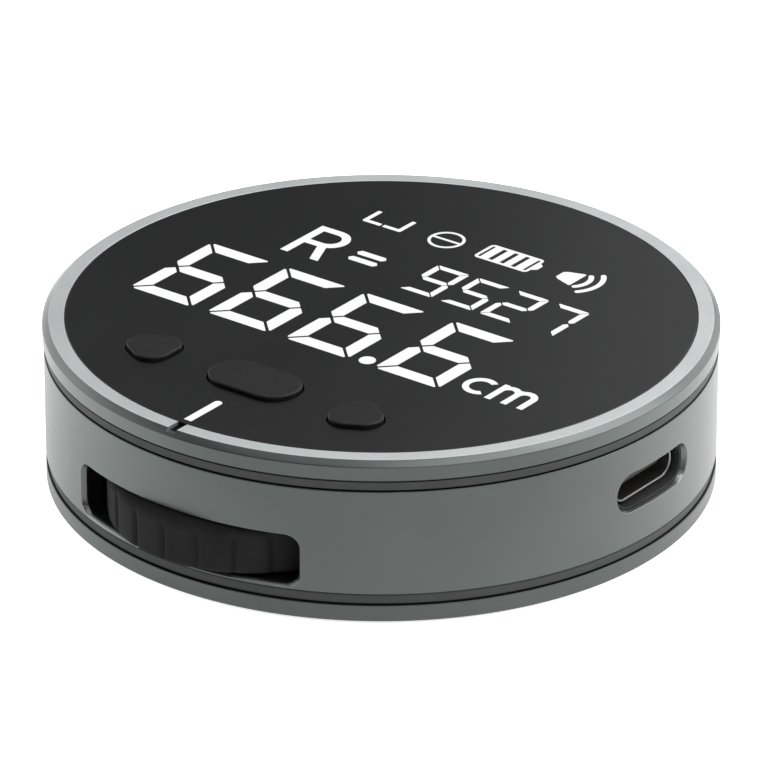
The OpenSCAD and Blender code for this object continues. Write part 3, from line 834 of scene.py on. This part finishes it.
def battery_mark(shell, x, y, w, h, t):
    """Battery: a case with five dark slits between its bars, and a tip."""
    case = [(sx * w / 2, sy * h / 2, 1.4 * t) for sx, sy in ((-1, -1), (1, -1), (1, 1), (-1, 1))]
    loops = [moved(rounded(case), x, y)]
    bar = (w - 2 * t) / 4
    tall = h / 2 - t
    for k, half in ((-2, 0.15), (-1, 0.25), (0, 0.25), (1, 0.25), (2, 0.15)):
        cx = k * bar * 0.95
        slit = [(cx - half, -tall), (cx + half, -tall), (cx + half, tall), (cx - half, tall)]
        loops.append(moved(slit, x, y))
    ink(shell, *loops)
    end = w / 2
    tip = [(end, -h * 0.26, 0), (end + 0.5, -h * 0.13, 0.08),
           (end + 0.5, h * 0.13, 0.08), (end, h * 0.26, 0)]
    ink(shell, moved(rounded(tip), x, y))


def speaker(shell, x, y):
    """Speaker cone with two sound arcs."""
    cone = [(0, -0.62, 0.2), (0.42, -0.9, 0.2), (2.1, -1.45, 0.15),
            (2.1, 1.45, 0.15), (0.42, 0.9, 0.2), (0, 0.62, 0.2)]
    ink(shell, moved(rounded(cone), x, y))
    source, t = 1.1, 0.52
    for r in (2.3, 3.45):
        middle = r - t / 2
        low, high = [(source + middle * math.cos(a), middle * math.sin(a)) for a in (-0.72, 0.72)]
        wave = arc(source, 0, r, -41, 41) + arc(*high, t / 2, 50, 220, 6)[1:-1]
        wave += arc(source, 0, r - t, 41, -41) + arc(*low, t / 2, 140, 310, 6)[1:-1]
        ink(shell, moved(wave, x, y))


def status_icons():
    shell = Shell()
    brackets(shell, x=-11.3, y=ICON_Y - 1.35)
    barred_ring(shell, x=-4.5, y=ICON_Y - 0.1, r=1.8, t=0.3)
    battery_mark(shell, x=2.6, y=ICON_Y + 0.15, w=6.1, h=3.2, t=0.32)
    speaker(shell, x=8.4, y=ICON_Y + 0.15)
    lit_piece("status_marks", shell, "status_icons")


def index_mark():
    """White printed line at the lens's front edge, round at its inner end; it is given an emitted glow,
    painted light.
    """
    shell = Shell()
    half, start, end = 0.4, -28.4, -24.1
    ink(shell, [(-half, start), (half, start)] + arc(0, end, half, 0, 180))
    piece("index_line", shell, [index_painted_glow_look], ["index_mark"])


# ---------- keys ----------

STEM_R = 1.0
FLANGE = 0.8  # both its width beyond the key and its thickness
FLANGE_TOP = LENS_Z - 0.05
KEY_ROUND_OUT = 0.25
KEY_ROUND_UP = 0.16
KEY_ROUND_STEPS = 7
CROWN = 0.03
CROWN_SHARES = (0.85, 0.65, 0.4, 0.15)

def key(side):
    """Key with a stem, a hidden flange, straight sides and a soft, slightly crowned top."""
    centres, corner, x = key_outlines()[side]
    stem = [(x, KEY_Y)]
    flange_low = FLANGE_TOP - FLANGE
    levels = [(stem, STEM_R, KEY_FOOT), (stem, STEM_R, flange_low),
              (centres, corner + FLANGE, flange_low), (centres, corner + FLANGE, FLANGE_TOP),
              (centres, corner, FLANGE_TOP)]
    for inset, drop in round_steps(KEY_ROUND_STEPS):
        levels.append((centres, corner - KEY_ROUND_OUT * inset, KEY_TOP - CROWN - KEY_ROUND_UP * drop))
    shell = Shell()
    rings = [[(px, py, z) for px, py in hull_ring(c, r)] for c, r, z in levels]
    edge = rings[-1]
    mx, my = np.mean([p[:2] for p in edge], axis=0)
    for share in CROWN_SHARES:
        z = KEY_TOP - CROWN * share * share
        rings.append([(mx + (px - mx) * share, my + (py - my) * share, z) for px, py, _ in edge])
    shell.loft(rings)
    piece(side + "_key_cap", shell, [key_look], [side + "_button"], body=side + "_key")


# ---------- side wall ----------

# The bevel of an opening from the face inwards: share of its width, depth.
LIP_STEPS = ((1.0, 0.0), (0.94, 0.015), (0.86, 0.06), (0.5, 0.25), (0.14, 0.44), (0.05, 0.49), (0.0, 0.55))
# Number of outer bevel steps that take the painted highlight along the lower edge.
PAINTED_HIGHLIGHT_STEPS = 5
# The bevel's width at the ends, below and above, and how far up its painted highlight reaches.
SLOT_LIP = (0.42, 0.24, 0.05)
SLOT_BRIGHT = 0.5
PORT_LIP = (0.36, 0.08, 0.04)
PORT_BRIGHT = 0.3
GRID_ROWS = 9
GRID_DEGREES = 2


def lipped(width, height, corner, centre_z, lip, share, count):
    """Outline of an opening widened by a share of its lip: at the ends, below and above. The lip
    below is a shallower bevel than the others at its outer edge."""
    beside, below, above = lip[0] * share, lip[1] * share ** 3, lip[2] * share
    corner += min(lip) * share
    ring = spaced(box_ring(width + 2 * beside, height + below + above, corner, count))
    return [(a, centre_z + (above - below) / 2 + z) for a, z in ring]


def slot_outline(share):
    """Outline of the wheel's slot, as (x, z)."""
    return lipped(SLOT_W, SLOT_H, SLOT_CORNER, SLOT_Z, SLOT_LIP, share, 160)


def port_outline(share):
    """Outline of the port's opening, as (y, z)."""
    return lipped(PORT_W, PORT_H, PORT_H / 2 - NEAR, PORT_Z, PORT_LIP, share, 120)


def through_front(radius, depth):
    """Lays an outline of (x, z) on a cylinder, pushed in along Y."""
    return lambda x, z: (x, depth - math.sqrt(radius * radius - x * x), z)


def through_side(radius, depth):
    """Lays an outline of (y, z) on a cylinder, pushed in along X."""
    return lambda y, z: (math.sqrt(radius * radius - y * y) - depth, y, z)


def opening(shell, outline, lay, bright_below):
    """Wall of an opening: a soft-edged bevel with a painted highlight along its lower edge, then
    straight in and black. Gives back its outer and inner rim."""
    rings = []
    for share, depth in LIP_STEPS:
        put = lay(BODY_R, depth)
        rings.append([put(a, z) for a, z in outline(share)])
    put = lay(WALL_IN, 0)
    rings.append([put(a, z) for a, z in outline(0)])
    numbers = [shell.ring(points) for points in rings]
    for i, (a, b) in enumerate(zip(numbers, numbers[1:])):
        for k, n in enumerate(a):
            kind = FACE
            if i == len(LIP_STEPS) - 1:
                kind = SECOND
            # Outer bevel steps below bright_below take the brighter lip metal: a painted highlight.
            elif i < PAINTED_HIGHLIGHT_STEPS and shell.points[n][2] < bright_below:
                kind = LIP
            following = (k + 1) % len(a)
            shell.face((n, a[following], b[following], b[k]), kind)
    return numbers[0], numbers[-1]


def body_band():
    """Tube with a sloping lower edge, the wheel's slot and the port."""
    shell = Shell()
    profile = rounded([(WALL_IN, BAND_Z0, 0.04)] + stepped_foot(BODY_R, BAND_Z0)
                      + [(BODY_R, BAND_Z1, 0.09), (WALL_IN, BAND_Z1, 0.04)])
    rings = [shell.ring([on_cylinder(r, 360 * k / AROUND - 180, z) for k in range(AROUND + 1)])
             for r, z in profile]
    lengths = [abs(z - profile[(i + 1) % len(profile)][1]) for i, (_, z) in enumerate(profile)]
    inner_wall, outer_wall = sorted(np.argsort(lengths)[-2:], key=lambda i: profile[i][0])
    rim_of_wall = {outer_wall: 0, inner_wall: 1}
    rims = [opening(shell, slot_outline, through_front, SLOT_Z - SLOT_H / 2 + SLOT_BRIGHT),
            opening(shell, port_outline, through_side, PORT_Z - PORT_H / 2 + PORT_BRIGHT)]
    for i, ring in enumerate(rings):
        other = rings[(i + 1) % len(rings)]
        if i in rim_of_wall:
            wall_with_holes(shell, ring, other, [pair[rim_of_wall[i]] for pair in rims])
            continue
        kind = foot_kind(profile[i], profile[(i + 1) % len(profile)], BODY_R, BAND_Z0)
        for quad in zip(ring, ring[1:], other[1:], other):
            shell.face(quad, kind)
    looks = [band_look, seal_look, undercut_painted_shade_look, groove_painted_shade_look, lip_painted_highlight_look]
    on_face = wall_normals(BODY_R, BAND_Z0 + FOOT_H + 0.04, BAND_Z1 - 0.08)
    piece("side_wall", shell, looks, ["body_band"], on_face)


def wall_with_holes(shell, one_rim, other_rim, holes):
    """Cylindrical wall between two rims, as triangles on a fine grid that goes round holes."""
    radius = math.hypot(*shell.points[one_rim[0]][:2])
    z0, z1 = sorted((shell.points[one_rim[0]][2], shell.points[other_rim[0]][2]))
    heights = [z0 + (z1 - z0) * (k + 1) / (GRID_ROWS + 1) for k in range(GRID_ROWS)]
    seam_a = shell.ring([on_cylinder(radius, -180, z) for z in heights])
    seam_b = shell.ring([on_cylinder(radius, 180, z) for z in heights])
    round_slot = kept_clear(slot_outline(1))
    round_port = kept_clear(port_outline(1))
    inner = []
    for a in range(-180 + GRID_DEGREES, 180, GRID_DEGREES):
        x, y, _ = on_cylinder(radius, a, 0)
        for z in heights:
            in_slot = y < 0 and inside((x, z), round_slot)
            in_port = x > 0 and inside((y, z), round_port)
            if not in_slot and not in_port:
                inner += shell.ring([(x, y, z)])
    low, high = (one_rim, other_rim) if shell.points[one_rim[0]][2] == z0 else (other_rim, one_rim)
    border = low + seam_b + high[::-1] + seam_a[::-1]
    right_side = {low[-1], high[-1], *seam_b}

    def unrolled(p, n):
        """Arc length along the wall and height."""
        turn = math.pi if n in right_side else math.atan2(p[0], -p[1])
        if n in (low[0], high[0]) or n in seam_a:
            turn = -math.pi
        return (turn * radius, p[2])

    shell.fill([border, *holes], unrolled, inner)


def kept_clear(outline, margin=0.45):
    """The outline pushed outwards, so that grid points stay off the rim."""
    centre = np.mean(outline, axis=0)
    half = np.ptp(outline, axis=0) / 2
    return [tuple(centre + (np.array(p) - centre) * (half + margin) / half) for p in outline]


def inside(point, outline):
    """True if a point lies in a convex outline that runs anticlockwise."""
    x, y = point
    pairs = zip(outline, outline[1:] + outline[:1])
    return all((bx - ax) * (y - ay) - (by - ay) * (x - ax) > 0 for (ax, ay), (bx, by) in pairs)


def gasket(name, node_name, z0, z1):
    """Flat ring whose edge shows as a seam line, a little behind the wall's face."""
    shell = Shell()
    soft = 0.05
    corners = [(FRAME_IN, z0, 0), (SEAM_R, z0, soft), (SEAM_R, z1, soft), (FRAME_IN, z1, 0)]
    shell.tube(turned(rounded(corners, 3)))
    piece(name, shell, [seal_look], [node_name])


# ---------- base ----------

PAD_R = 27.0
PAD_T = 0.4
BOSS_RING = 25.3
BOSS_ANGLES = (55, 125, 205, 335)  # from +X towards +Y
SCREW_R = 0.8
HEAD_R = 1.4
HEAD_T = 0.65
HOLE_POINTS = 48
PAD_RIBS = 24
PAD_MARGIN = 1.2  # from the pad's rim to its first rib
PAD_POINTS = 180


def bottom_cover():
    """Plate with a soft outer edge, a recess for the pad and four sunk screw holes."""
    shell = Shell()
    profile = rounded([(PAD_R, PAD_T, 0), (PAD_R, 0, 0.05), (BODY_R - 0.12, 0, 0.03),
                       (BODY_R, 0.12, 0.04), (BODY_R, COVER_TOP, 0.09), (PAD_R, COVER_TOP, 0)])
    stacks = [shell.loft(turned(profile), caps=False)]
    seat = PAD_T + HEAD_T
    hole = ((HEAD_R, PAD_T), (HEAD_R, seat), (SCREW_R, seat), (SCREW_R, COVER_TOP))
    for angle in BOSS_ANGLES:
        turn = math.radians(angle)
        centre = [(BOSS_RING * math.cos(turn), BOSS_RING * math.sin(turn))]
        rings = [[(x, y, z) for x, y in hull_ring(centre, r, HOLE_POINTS)] for r, z in hole]
        stacks.append(shell.loft(rings, caps=False))
    for level in (0, -1):
        shell.fill([s[level] for s in stacks], from_above)
    piece("base_plate", shell, [cover_painted_shade_look], ["bottom_cover"])


def base_pad():
    """Foot pad with shallow concentric ribs moulded into its lower face."""
    shell = Shell()
    rim = PAD_R - 0.05
    top = PAD_T - 0.02
    profile = [(0, top), (rim, top), (rim, 0.08), (rim - 0.02, 0.02), (rim - 0.08, 0.0)]
    pitch = (rim - PAD_MARGIN - 1.0) / PAD_RIBS
    for k in range(PAD_RIBS):
        r = rim - PAD_MARGIN - k * pitch
        profile += [(r, 0.0), (r - 0.08, 0.05), (r - 0.22, 0.05), (r - 0.3, 0.0)]
    profile.append((0, 0.0))
    shell.tube(turned(profile, PAD_POINTS))
    piece("foot_pad", shell, [pad_look], ["base_pad"])


# ---------- measuring wheel ----------

TYRE_SHOULDER = 0.9
TYRE_FOOT = 0.4
BLOCK_POINTS = 28  # from one tread to the next
TREAD_DEPTH = 0.32
TREAD_HALF = 0.34


def tread_share(r, z):
    """Share of a tread's depth at a place in the tyre's section: 1 on its face, 0 at its edges."""
    top = clamped((WHEEL_Z1 - 0.35 - z) / 0.9)
    bottom = clamped((z - WHEEL_Z0 + 0.1) / 0.3)
    side = clamped((r - WHEEL_R + 1.0) / 0.6)
    return top * bottom * side


def tread_dip(k):
    """Share of a tread's depth at the k-th point round the tyre."""
    blocks = ((k + BLOCK_POINTS / 2) % BLOCK_POINTS - BLOCK_POINTS / 2) / BLOCK_POINTS
    off = blocks * TAU * WHEEL_R / TREADS
    return math.exp(-((off / TREAD_HALF) ** 2) * 1.6)


def tyre():
    """Rubber tyre: flat blocks, soft shallow grooves that fade into a round shoulder."""
    shell = Shell()
    profile = rounded([(TYRE_IN, WHEEL_Z0, 0), (WHEEL_R, WHEEL_Z0, TYRE_FOOT),
                       (WHEEL_R, WHEEL_Z0 + 1.4, 0), (WHEEL_R, WHEEL_Z1 - 1.6, 0),
                       (WHEEL_R, WHEEL_Z1, TYRE_SHOULDER), (TYRE_IN, WHEEL_Z1, 0)], 8)
    count = TREADS * BLOCK_POINTS
    rings = []
    for r, z in profile:
        depth = TREAD_DEPTH * tread_share(r, z)
        around = [on_cylinder(r - depth * tread_dip(k), 360 * k / count, z) for k in range(count)]
        rings.append([(x, y + WHEEL_Y, height) for x, y, height in around])
    shell.tube(rings)
    piece("tread", shell, [tyre_look], ["wheel_tyre"], body="wheel")


# ---------- charging port ----------

SHELL_T = 0.3
ROLL_STEPS = 8
TONGUE = (6.7, 0.7)  # width and height
CONTACT = (0.26, 0.08)
CONTACTS = 12
CONTACT_PITCH = 0.5


def stadium(width, height):
    """Outline with round ends, centred on the origin."""
    return spaced(box_ring(width, height, height / 2 - NEAR))


def on_socket(outline, x):
    """Lays an outline across the socket's axis: x is a number or a function of y."""
    return [(x(y) if callable(x) else x, y, PORT_Z + z) for y, z in outline]


def port_sleeve():
    """Plastic tunnel behind the port, whose mouth follows the round wall."""
    shell = Shell()
    back = SHELL_X1 - 0.3
    outside = (PORT_W, PORT_H)
    hole = (PORT_W - 0.4, PORT_H - 0.3)

    def mouth(inset):
        """Place along X for each y, a little behind the wall's face."""
        return lambda y: math.sqrt((BODY_R - 0.5) ** 2 - y * y) - inset

    sections = ((outside, -0.06, back), (outside, -0.06, mouth(0.05)), (outside, -0.12, mouth(0)),
                (hole, 0.12, mouth(0)), (hole, 0.03, mouth(0.04)), (hole, 0, mouth(0.12)),
                (hole, 0, back + 0.05), (hole, 0.05, back))
    shell.tube([on_socket(stadium(w + grow, h + grow), x) for (w, h), grow, x in sections])
    piece("port_tunnel", shell, [tunnel_look], ["port_sleeve"])


def usb_shell():
    """Drawn steel shell of the socket, with a rolled mouth and a closed back."""
    shell = Shell()
    rings = [on_socket(stadium(SHELL_W, SHELL_H), SHELL_X0)]
    for inset, drop in round_steps(ROLL_STEPS, math.pi):
        outline = stadium(SHELL_W - SHELL_T * inset, SHELL_H - SHELL_T * inset)
        rings.append(on_socket(outline, SHELL_X1 - SHELL_T / 2 * drop))
    rings.append(on_socket(stadium(SHELL_W - 2 * SHELL_T, SHELL_H - 2 * SHELL_T), SHELL_X0 + SHELL_T))
    shell.loft(rings)
    piece("socket_shell", shell, [socket_painted_shade_look], ["usb_shell"])


def slab(shell, x0, x1, size, edge, cy=0, cz=0):
    """Bar along X with rounded corners and a rounded front end."""
    width, height = size

    def ring(inset, x):
        outline = box_ring(width - 2 * inset, height - 2 * inset, max(edge - inset, 0.01), 32)
        return [(x, cy + y, PORT_Z + cz + z) for y, z in outline]

    front = [ring(edge * 0.9 * inset, x1 - edge * drop) for inset, drop in round_steps()]
    shell.loft([ring(0, x0)] + front)


def usb_tongue():
    """Plastic tongue in the middle of the socket."""
    shell = Shell()
    slab(shell, SHELL_X0 + 0.3, SHELL_X1 - 0.7, TONGUE, edge=0.2)
    piece("socket_tongue", shell, [plastic_look], ["usb_tongue"])


def usb_contacts():
    """Gilded contact strips on both faces of the tongue."""
    shell = Shell()
    for face in (-1, 1):
        for k in range(CONTACTS):
            y = (k - (CONTACTS - 1) / 2) * CONTACT_PITCH
            slab(shell, SHELL_X0 + 0.4, SHELL_X1 - 1.3, CONTACT, 0.03, y, face * TONGUE[1] / 2)
    piece("socket_contacts", shell, [gold_look])


# ---------- CAD nodes that keep their own shape ----------

NODE_LOOKS = (
    (white_look, "reflector_frame display_leds thrust_washers encoder_disc"),
    (board_look, "display_board main_board"),
    (plastic_look, "button_guide inner_frame wheel_cage wheel_hub"),
    (chip_look, "board_chips encoder_sensor buzzer left_plunger middle_plunger right_plunger"),
    (steel_look, "switch_bodies axle_bridge wheel_axle board_screws cover_screws"),
    (foil_look, "battery"),
    (tape_look, "battery_tape"),
    (wire_look, "battery_leads"),
    (brass_look, "hub_bushing"),
)


def dress_nodes():
    """Gives each carried-over CAD node its material."""
    for look, names in NODE_LOOKS:
        for name in names.split():
            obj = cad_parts[name]
            if not obj.material_slots:
                obj.data.materials.append(look)
            for material_slot in obj.material_slots:
                material_slot.material = look


# ---------- camera, floor and light ----------

AZIMUTH = 37.2
ELEVATION = 26.657
DISTANCE = 0.62
FOCAL = 313.5
AIM_RIGHT = 0.0004
AIM_UP = 0.0121
WORLD_TONE = (0.10, 0.102, 0.105, 1)
LIT_POINT = (0, 0, 0.01)
# Place to the camera's right, back and up, size and radiance of each soft light.
SOFTBOXES = {
    "overhead": ((0.0, 0.05, 0.55), (0.7, 0.7), 0.76),
    "left": ((-0.22, 0.05, 0.12), (0.24, 0.16), 0.9),
    "left_back": ((-0.22, 0.16, 0.09), (0.16, 0.14), 1.2),
    "low_left_back": ((-0.16, 0.31, 0.035), (0.22, 0.10), 1.3),
    "right": ((0.22, 0.01, 0.20), (0.22, 0.24), 3.4),
    "right_back": ((0.20, 0.17, 0.08), (0.16, 0.14), 1.8),
    "right_front": ((0.09, -0.15, 0.30), (0.18, 0.16), 1.7),
    "front": ((0.18, -0.47, 0.13), (0.6, 0.3), 0.7),
    "high_back": ((0.08, 0.30, 0.42), (0.40, 0.30), 0.8),
    "back_right": ((0.16, 0.30, 0.17), (0.30, 0.16), 0.5),
}
# Where the floor's painted glow starts and stops rising towards the back, and its strength there.
GLOW_RISE = (-0.052, -0.008)
GLOW = (0.28, 1.1)
FLOOR_HALF = 3.0
FLOOR_Z = -0.0001


def from_camera_side(right, back, up):
    """A point in metres, from how far it is to the camera's right, away from the camera and up."""
    turn = math.radians(AZIMUTH)
    return Vector((right * math.cos(turn) - back * math.sin(turn),
                   right * math.sin(turn) + back * math.cos(turn), up))


def camera():
    """Camera at the photo's viewing angle."""
    lift = math.radians(ELEVATION)
    data = bpy.data.cameras.new("camera")
    data.lens = FOCAL
    data.sensor_width = 36
    data.clip_start = 0.01
    data.clip_end = 20
    cam = bpy.data.objects.new("camera", data)
    cam.location = from_camera_side(0, -DISTANCE * math.cos(lift), DISTANCE * math.sin(lift))
    ahead = from_camera_side(0, math.cos(lift), -math.sin(lift))
    right = from_camera_side(1, 0, 0)
    aim = ahead + AIM_RIGHT * right + AIM_UP * right.cross(ahead)
    cam.rotation_mode = "QUATERNION"
    cam.rotation_quaternion = aim.to_track_quat("-Z", "Y")
    bpy.context.scene.collection.objects.link(cam)
    bpy.context.scene.camera = cam


def softbox(name, where, size, radiance):
    """Rectangular soft light that points at the object."""
    data = bpy.data.lights.new(name, "AREA")
    data.shape = "RECTANGLE"
    data.size, data.size_y = size
    data.energy = radiance * math.pi * size[0] * size[1]
    light = bpy.data.objects.new(name, data)
    light.location = where
    light.rotation_mode = "QUATERNION"
    light.rotation_quaternion = (Vector(LIT_POINT) - where).to_track_quat("-Z", "Y")
    light.visible_camera = False
    bpy.context.scene.collection.objects.link(light)


def lights():
    """A dim even world and the soft lights."""
    world = bpy.data.worlds.new("studio")
    bpy.context.scene.world = world
    world.use_nodes = True
    world.node_tree.nodes["Background"].inputs["Color"].default_value = WORLD_TONE
    for name, (where, size, radiance) in SOFTBOXES.items():
        softbox(name, from_camera_side(*where), size, radiance)


def painted_floor_glow(tree):
    """Strength of the floor's emitted glow: even in front, rising towards the back, a painted pool of
    light behind the object.
    """
    where = node(tree, "ShaderNodeTexCoord").outputs["Object"]
    inputs = {"Vector": where, "Angle": -math.radians(AZIMUTH)}
    swung = node(tree, "ShaderNodeVectorRotate", inputs, rotation_type="Z_AXIS").outputs["Vector"]
    back = node(tree, "ShaderNodeSeparateXYZ", {"Vector": swung}).outputs["Y"]
    inputs = {"Value": back, "From Min": GLOW_RISE[0], "From Max": GLOW_RISE[1],
              "To Min": GLOW[0], "To Max": GLOW[1]}
    return node(tree, "ShaderNodeMapRange", inputs, interpolation_type="SMOOTHSTEP").outputs["Result"]


def floor():
    """Plain pale floor with a faint mottle, glowing with a painted light that rises towards the back."""
    mesh = bpy.data.meshes.new("floor")
    corners = [(x * FLOOR_HALF, y * FLOOR_HALF, FLOOR_Z) for x, y in ((-1, -1), (1, -1), (1, 1), (-1, 1))]
    mesh.from_pydata(corners, [], [(0, 1, 2, 3)])
    obj = bpy.data.objects.new("floor", mesh)
    bpy.context.scene.collection.objects.link(obj)
    made, tree = material("pale_floor")
    mottle = noise(tree, place(tree), 0.02, 3.0)
    tone = spread(tree, mottle, (0.84, 0.84, 0.84), (0.86, 0.86, 0.86))
    drive(made, Base_Color=tone, Roughness=0.9,
          Emission_Color=(1, 1, 1, 1), Emission_Strength=painted_floor_glow(tree))
    mesh.materials.append(made)


camera()
lights()
floor()
bezel_ring()
notch_insert()
lens_panel()
main_digits()
side_digits()
unit_letters()
status_icons()
index_mark()
for side in ("left", "middle", "right"):
    key(side)
body_band()
gasket("upper_seal", "upper_gasket", BAND_Z1, BEZEL_Z)
gasket("lower_seal", "lower_gasket", COVER_TOP, BAND_Z0)
bottom_cover()
base_pad()
tyre()
port_sleeve()
usb_shell()
usb_tongue()
usb_contacts()
dress_nodes()
bpy.context.scene.view_settings.view_transform = "Standard"
